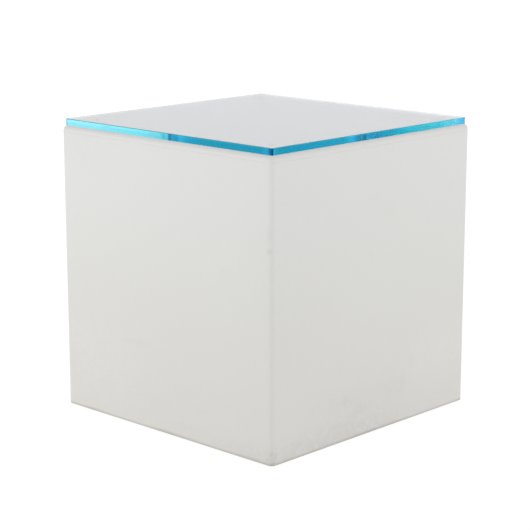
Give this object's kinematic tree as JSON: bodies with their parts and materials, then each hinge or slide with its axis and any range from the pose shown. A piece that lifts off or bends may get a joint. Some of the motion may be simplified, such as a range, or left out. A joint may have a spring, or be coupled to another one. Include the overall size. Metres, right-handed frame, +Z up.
{
  "type": "acrylic display cube",
  "caption": "Cube of white opal acrylic sheet with eased edges, a recessed base on feet, and a loose clear glass plate on top as the display surface.",
  "frame": {"origin": "on the floor, under the middle of the cube", "axes": "+Z up, along the cube's axis and out of the glass plate's upper face; -Y out of the front wall, +X out of the right wall"},
  "size_m": [0.457, 0.457, 0.4679],
  "materials": {
    "opal_acrylic": "satin, translucent white, a little yellowed towards the floor",
    "clear_acrylic": "clear, sawn and cemented",
    "low_iron_glass": "clear, with polished edges that show cyan to teal",
    "clear_vinyl": "clear, soft and slightly tacky",
    "stainless_steel": "turned and lightly brushed",
    "grey_rubber": "matte moulded"
  },
  "bodies": {
    "cube": {"wall_front": "opal_acrylic", "wall_right": "opal_acrylic", "wall_back": "opal_acrylic", "wall_left": "opal_acrylic", "deck": "opal_acrylic", "base_panel": "opal_acrylic", "corner_rod_1": "clear_acrylic", "corner_rod_2": "clear_acrylic", "corner_rod_3": "clear_acrylic", "corner_rod_4": "clear_acrylic", "deck_cleat_front": "clear_acrylic", "deck_cleat_right": "clear_acrylic", "deck_cleat_back": "clear_acrylic", "deck_cleat_left": "clear_acrylic", "base_cleat_front": "clear_acrylic", "base_cleat_right": "clear_acrylic", "base_cleat_back": "clear_acrylic", "base_cleat_left": "clear_acrylic", "base_screw_1": "stainless_steel", "base_screw_2": "stainless_steel", "base_screw_3": "stainless_steel", "base_screw_4": "stainless_steel", "base_screw_5": "stainless_steel", "base_screw_6": "stainless_steel", "base_screw_7": "stainless_steel", "base_screw_8": "stainless_steel", "foot_1": "grey_rubber", "foot_2": "grey_rubber", "foot_3": "grey_rubber", "foot_4": "grey_rubber", "glass_bumper_1": "clear_vinyl", "glass_bumper_2": "clear_vinyl", "glass_bumper_3": "clear_vinyl", "glass_bumper_4": "clear_vinyl"},
    "glass": {"glass_top": "low_iron_glass"}
  },
  "joints": [
    {"name": "glass_lift", "type": "slide", "parent": "cube", "child": "glass", "axis": [0, 0, 1], "range_m": [0, 0.1]}
  ]
}
